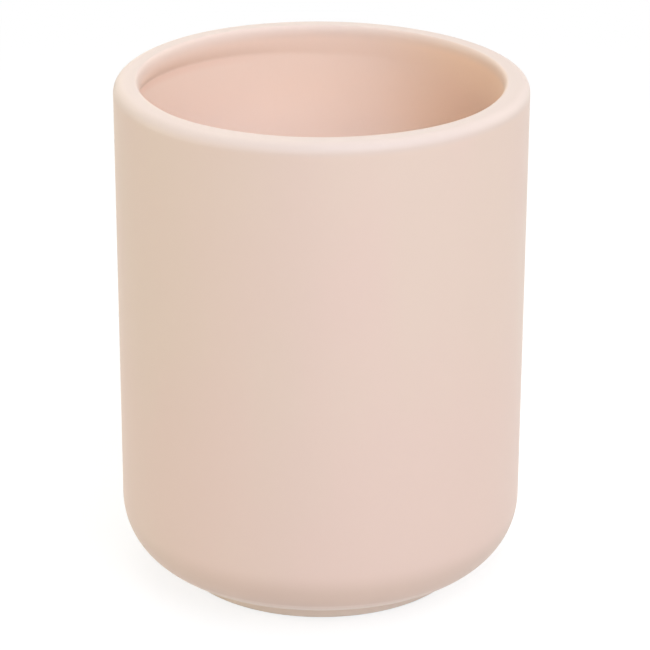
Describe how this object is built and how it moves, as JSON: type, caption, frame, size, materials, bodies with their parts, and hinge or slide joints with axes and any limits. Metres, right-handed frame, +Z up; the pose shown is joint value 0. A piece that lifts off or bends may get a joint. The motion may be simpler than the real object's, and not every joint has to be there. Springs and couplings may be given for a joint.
{
  "type": "toothbrush holder",
  "caption": "Straight round ceramic tumbler with a rolled lip and a low foot ring, standing on small soft pads, that holds toothbrushes upright.",
  "frame": {"origin": "middle of the plane that the pads stand on, under the centre of the tumbler", "axes": "+Z up along the tumbler's axis; +X and +Y across it, alike except for the pads, which lie on the diagonals"},
  "size_m": [0.08, 0.08, 0.1019],
  "materials": {
    "ceramic_glaze": "matte pale pink glaze",
    "soft_pad": "clear matte silicone"
  },
  "bodies": {
    "root": {"tumbler_body": "ceramic_glaze", "anti_slip_pad_1": "soft_pad", "anti_slip_pad_2": "soft_pad", "anti_slip_pad_3": "soft_pad", "anti_slip_pad_4": "soft_pad"}
  },
  "joints": []
}
